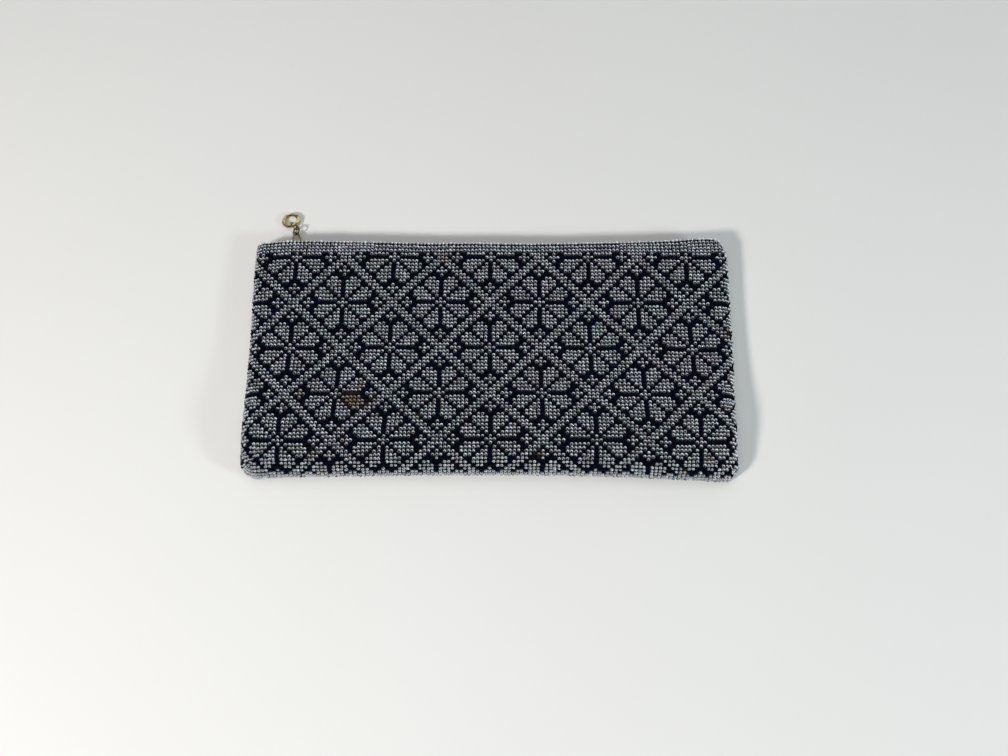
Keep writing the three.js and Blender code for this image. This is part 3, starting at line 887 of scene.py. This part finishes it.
def roundedBox(half, power, rings, sides):
    # Box with soft edges: a ball whose sines and cosines are raised to a power below one
    def soft(value):
        return np.sign(value) * np.abs(value) ** power

    tall = np.linspace(-rightAngle, rightAngle, rings)[:, None]
    turn = fullTurn(sides)
    shape = np.stack(np.broadcast_arrays(
        half[0] * soft(np.cos(tall)) * soft(np.cos(turn)),
        half[1] * soft(np.sin(tall)),
        half[2] * soft(np.cos(tall)) * soft(np.sin(turn)),
    ), -1)
    return shape.reshape(-1, 3), gridFaces(rings, sides, wrapColumns=True)


def makeTeeth(name, node, up, material):
    # One soft-edged tooth repeated along the chain, and the cord that carries them
    start = zipSet["teethFrom"] + (0 if up > 0 else zipSet["pitch"] / 2)
    count = int((zipSet["teethTo"] - start) / zipSet["pitch"]) + 1
    half = zipSet["toothHalf"]
    x = start + zipSet["pitch"] * np.arange(count) + half[0]
    y, z = chainPlace(x)
    shape, quads = roundedBox(half, zipSet["toothPower"], zipSet["toothRings"], zipSet["toothSides"])
    middles = np.stack([x, y, z + up * zipSet["toothMiddle"]], -1)
    teeth = (middles[:, None] + shape).reshape(-1, 3)
    toothFaces = repeatFaces(quads, count, len(shape))
    along = np.linspace(x[0] - zipSet["cordPast"], x[-1] + zipSet["cordPast"], zipSet["cordSteps"])
    turn = fullTurn(zipSet["cordSides"])
    cordY, cordZ = chainPlace(along)
    halfY, halfZ = zipSet["cordHalf"]
    cord = np.stack(np.broadcast_arrays(
        along[:, None],
        cordY[:, None] + halfY * np.cos(turn),
        cordZ[:, None] + up * zipSet["cordMiddle"] + halfZ * np.sin(turn),
    ), -1)
    cordFaces = gridFaces(len(along), len(turn), wrapColumns=True) + len(teeth)
    points = np.concatenate([teeth, cord.reshape(-1, 3)])
    mesh = meshFrom(name, points, np.concatenate([toothFaces, cordFaces]))
    closeSeams(mesh, openSides=len(turn))
    addPiece(name, mesh, material, node)


# Brass with a shared tarnish
tarnishSet = {
    "scales": (1.0, 4.0), "shares": (0.6, 0.4), "detail": 3,  # of the coarse and the fine clouds
    "from": 0.38, "to": 0.62,  # of the clouds, where the tarnish starts and is full
    "rough": 0.13, "rougher": 0.25,  # of the bright metal, and what tarnish adds
    "bump": 0.15, "deep": 0.0001,
}


def tarnishGroup():
    # Two sizes of cloudy noise on the piece itself: a mask that darkens and roughens the metal
    tree, given, result = newGroup(
        "tarnish",
        (("Bright", "Color"), ("Dull", "Color"), ("Size", "Float"), ("Amount", "Float")),
        (("Color", "Color"), ("Roughness", "Float"), ("Height", "Float")),
    )
    place = addNode(tree, "ShaderNodeTexCoord").outputs["Object"]
    clouds = []
    for scale in tarnishSet["scales"]:
        noise = addNode(tree, "ShaderNodeTexNoise", {
            "Vector": place,
            "Scale": mathNode(tree, "MULTIPLY", given["Size"], scale),
            "Detail": tarnishSet["detail"],
        })
        clouds.append(noise.outputs["Fac"])
    coarse, fine = clouds
    coarseShare, fineShare = tarnishSet["shares"]
    cloud = mathNode(tree, "MULTIPLY_ADD", fine, fineShare, mathNode(tree, "MULTIPLY", coarse, coarseShare))
    spread = softStep(tree, cloud, tarnishSet["from"], tarnishSet["to"])
    mask = mathNode(tree, "MULTIPLY", spread, given["Amount"])
    feed(tree, result, {
        "Color": mixColour(tree, mask, given["Bright"], given["Dull"]),
        "Roughness": mathNode(tree, "MULTIPLY_ADD", mask, tarnishSet["rougher"], tarnishSet["rough"]),
        "Height": fine,
    })
    return tree


tarnish = tarnishGroup()


def brassMaterial(name, look):
    material, tree, shader = newMaterial(name)
    out = placeGroup(tree, tarnish, look)
    feed(tree, shader, {
        "Base Color": out["Color"],
        "Roughness": out["Roughness"],
        "Metallic": 1.0,
        "Normal": bumpNormal(tree, out["Height"], tarnishSet["bump"], tarnishSet["deep"]),
    })
    return material


pullBrass = brassMaterial("pullBrass", {
    "bright": (0.76, 0.61, 0.29, 1), "dull": (0.085, 0.064, 0.018, 1), "size": 420, "amount": 0.94,
})
# The bail and links take a darker copy of the ring's brass: painted shade, and painted reflection of the
# dark bag
shadedLinkBrass = brassMaterial("shadedLinkBrass", {
    "bright": (0.36, 0.28, 0.10, 1), "dull": (0.055, 0.04, 0.012, 1), "size": 500, "amount": 0.9,
})
zipBrass = brassMaterial("zipBrass", {
    "bright": (0.62, 0.48, 0.22, 1), "dull": (0.25, 0.18, 0.08, 1), "size": 350, "amount": 0.8,
})
tapeCloth = wovenMaterial("tapeCloth", "tapeMap", zipSet["tapeLook"])
makeTape("tapeFront", "zip_tape_front", 1.0, tapeCloth)
makeTape("tapeBack", "zip_tape_back", -1.0, tapeCloth)
makeTeeth("teethFront", "zip_teeth_front", 1.0, zipBrass)
makeTeeth("teethBack", "zip_teeth_back", -1.0, zipBrass)
print("zip made")

# Slider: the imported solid, its edges softened
sliderSet = {"weld": 1e-5, "bevel": 0.00018, "segments": 2, "angle": 35}


def finishSlider():
    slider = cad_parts["zip_slider"]
    weld = slider.modifiers.new("weld", "WELD")
    weld.merge_threshold = sliderSet["weld"]
    bevel = slider.modifiers.new("softEdges", "BEVEL")
    bevel.width = sliderSet["bevel"]
    bevel.segments = sliderSet["segments"]
    bevel.limit_method = "ANGLE"
    bevel.angle_limit = np.radians(sliderSet["angle"])
    slider.data.materials.clear()
    slider.data.materials.append(zipBrass)


finishSlider()

# Pull: bail, two links and the ring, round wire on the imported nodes' own middle lines
pullSet = {
    "steps": 72, "sides": 18,
    "decimals": 7,  # of a metre, at which doubled points of a node are one
    "bailTip": 0.0013, "bailCorner": 0.0009, "bailWire": 0.00045,
    "cornerSteps": 10, "legSteps": 14, "tipSteps": 21,
}


def nodePoints(node):
    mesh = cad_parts[node].data
    flat = np.empty(3 * len(mesh.vertices), np.float32)
    mesh.vertices.foreach_get("co", flat)
    return np.unique(np.round(flat.reshape(-1, 3).astype(float), pullSet["decimals"]), axis=0)


def ownAxes(points):
    # Middle of the points and their three main directions, the longest first
    middle = points.mean(0)
    return middle, np.linalg.svd(points - middle, full_matrices=False)[2]


def addWire(name, node, line, normal, radius, material):
    # A circle carried round a closed flat line of points
    ahead = unit(np.roll(line, -1, 0) - np.roll(line, 1, 0))
    sideways = np.cross(ahead, normal)
    turn = fullTurn(pullSet["sides"])[None, :, None]
    points = line[:, None] + radius * (np.cos(turn) * sideways[:, None] + np.sin(turn) * normal)
    mesh = meshFrom(name, points.reshape(-1, 3), gridFaces(len(line), pullSet["sides"], True, True))
    closeSeams(mesh)
    addPiece(name, mesh, material, node)


def makeRing(name, node, material):
    # Ring of the node's own middle, plane, middle radius and wire
    points = nodePoints(node)
    middle, axes = ownAxes(points)
    flat = (points - middle) @ axes[:2].T
    far = np.hypot(flat[:, 0], flat[:, 1])
    midR, wire = (far.max() + far.min()) / 2, (far.max() - far.min()) / 2
    turn = fullTurn(pullSet["steps"])[:, None]
    line = middle + midR * (np.cos(turn) * axes[0] + np.sin(turn) * axes[1])
    addWire(name, node, line, axes[2], wire, material)


def makeBail(name, node, material):
    # Tapering loop: a straight base with two round corners, straight legs and a half round at the tip
    points = nodePoints(node)
    middle, axes = ownAxes(points)
    long = axes[0] if axes[0][1] > 0 else -axes[0]
    wide, normal = axes[1], axes[2]
    along = (points - middle) @ long
    wire, corner, tip = pullSet["bailWire"], pullSet["bailCorner"], pullSet["bailTip"]
    base, end = along.min() + wire, along.max() - wire
    half = np.abs((points - middle) @ wide).max() - wire
    quarter = np.linspace(0, rightAngle, pullSet["cornerSteps"])
    inset, aside = corner * (1 - np.cos(quarter)), corner * (1 - np.sin(quarter))
    cornerLine = np.stack([base + inset, half - aside], -1)
    leg = np.linspace(0, 1, pullSet["legSteps"])[1:-1, None]
    legStart, legEnd = np.array([base + corner, half]), np.array([end - tip, tip])
    legLine = legStart + (legEnd - legStart) * leg
    tipTurn = np.linspace(0, np.pi, pullSet["tipSteps"])
    tipLine = np.stack([end - tip + tip * np.sin(tipTurn), tip * np.cos(tipTurn)], -1)
    flip = np.array([1.0, -1.0])
    flat = np.concatenate([cornerLine, legLine, tipLine, legLine[::-1] * flip, cornerLine[::-1] * flip])
    line = middle + flat[:, :1] * long + flat[:, 1:] * wide
    addWire(name, node, line, normal, wire, material)


makeRing("pullRing", "pull_ring", pullBrass)
makeRing("linkNear", "link_ring_near", shadedLinkBrass)
makeRing("linkFar", "link_ring_far", shadedLinkBrass)
makeBail("pullBail", "pull_bail", shadedLinkBrass)
print("pull made")

# Floor
floorSet = {
    "half": 2.0, "under": 0.00005,
    "pale": (0.80, 0.80, 0.785, 1), "soft": (0.77, 0.77, 0.755, 1),
    "clouds": 9, "detail": 6, "rough": 0.6, "shine": 0.2,
}


def makeFloor():
    half, low = floorSet["half"], -floorSet["under"]
    corners = np.array([(-half, -half, low), (half, -half, low), (half, half, low), (-half, half, low)])
    mesh = meshFrom("paleFloor", corners, np.array([[0, 1, 2, 3]]))
    material, tree, shader = newMaterial("paleFloor")
    cloud = addNode(tree, "ShaderNodeTexNoise", {
        "Vector": addNode(tree, "ShaderNodeTexCoord").outputs["Object"],
        "Scale": floorSet["clouds"],
        "Detail": floorSet["detail"],
    })
    feed(tree, shader, {
        "Base Color": mixColour(tree, cloud.outputs["Fac"], floorSet["pale"], floorSet["soft"]),
        "Roughness": floorSet["rough"],
        "Specular IOR Level": floorSet["shine"],
    })
    mesh.materials.append(material)
    addObject("paleFloor", mesh)


makeFloor()

# Lights: a warm one from the left front, a cool one from the right and a soft one overhead,
# none of them mirrored, and panels that are seen only as glints
lightSet = [
    # name, azimuth, elevation, distance, size, power, colour, glints
    ("warmLight", 222, 36, 1.2, (0.18, 0.18), 11.2, (1.0, 0.955, 0.915), False),
    ("coolLight", 333, 26, 1.2, (0.20, 0.20), 4.6, (0.78, 0.93, 1.0), False),
    ("softLight", 270, 81, 2.0, (2.4, 2.4), 15.0, (1.0, 0.99, 0.95), False),
    ("backPanel", 68, 39, 1.3, (3.6, 3.0), 22.8, (0.95, 0.98, 1.0), True),
    ("rightPanel", 345, 26, 1.3, (2.0, 1.4), 3.2, (0.95, 0.98, 1.0), True),
    ("leftPanel", 195, 26, 1.3, (2.0, 1.4), 2.1, (0.97, 0.98, 1.0), True),
    ("frontPanel", 270, 7, 1.5, (4.0, 0.55), 3.0, (1.0, 0.98, 0.95), True),
]
roomSet = {
    "way": (0.28, 0.80, 0.53),  # towards the palest wall
    "from": 0.05, "to": 0.80,
    "dark": (0.047, 0.050, 0.060, 1), "pale": (0.205, 0.218, 0.240, 1),
}


def makeLights():
    # Each light faces the floor under the bag's middle
    for name, azimuth, elevation, distance, size, power, colour, glints in lightSet:
        lamp = bpy.data.lights.new(name, "AREA")
        lamp.shape = "ELLIPSE"
        lamp.size, lamp.size_y = size
        lamp.energy = power
        lamp.color = colour
        holder = addObject(name, lamp)
        holder.matrix_world = lookAt((0.0, 0.0, 0.0), azimuth, elevation, distance)
        holder.visible_glossy = glints
        holder.visible_diffuse = not glints


def makeRoom():
    # The room's colour goes from dark to pale with the cosine between a direction and the pale wall's
    world = bpy.data.worlds.new("paleRoom")
    world.use_nodes = True
    tree = world.node_tree
    around = addNode(tree, "ShaderNodeTexCoord").outputs["Generated"]
    cosine = addNode(tree, "ShaderNodeVectorMath", {0: around, 1: roomSet["way"]}, operation="DOT_PRODUCT")
    fade = softStep(tree, cosine.outputs["Value"], roomSet["from"], roomSet["to"])
    colour = mixColour(tree, fade, roomSet["dark"], roomSet["pale"])
    feed(tree, tree.nodes["Background"], {"Color": colour})
    bpy.context.scene.world = world


makeRoom()
makeLights()
bpy.context.scene.view_settings.view_transform = "Standard"
print("stage lit")
